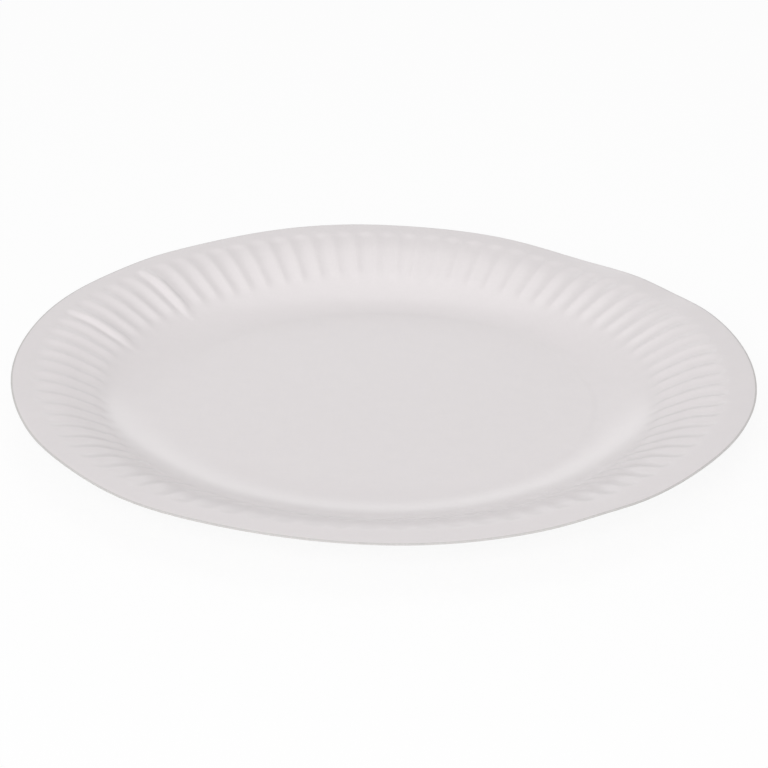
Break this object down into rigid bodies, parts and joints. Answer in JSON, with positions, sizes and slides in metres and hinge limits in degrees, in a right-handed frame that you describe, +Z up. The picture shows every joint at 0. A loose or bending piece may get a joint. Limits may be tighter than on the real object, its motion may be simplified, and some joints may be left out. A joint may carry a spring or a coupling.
{
  "type": "paper plate",
  "caption": "Round, shallow paper plate with a flat floor, a fluted sloping wall and a narrow flange, for serving food once.",
  "frame": {"origin": "centre of the underside of the flat floor, where the plate rests on a table", "axes": "+Z up through the open top, square to the floor; X and Y lie in the floor and are alike, because the plate is round"},
  "size_m": [0.23, 0.23, 0.0149],
  "materials": {
    "plate": "matte"
  },
  "bodies": {
    "root": {"plate": "plate"}
  },
  "joints": []
}
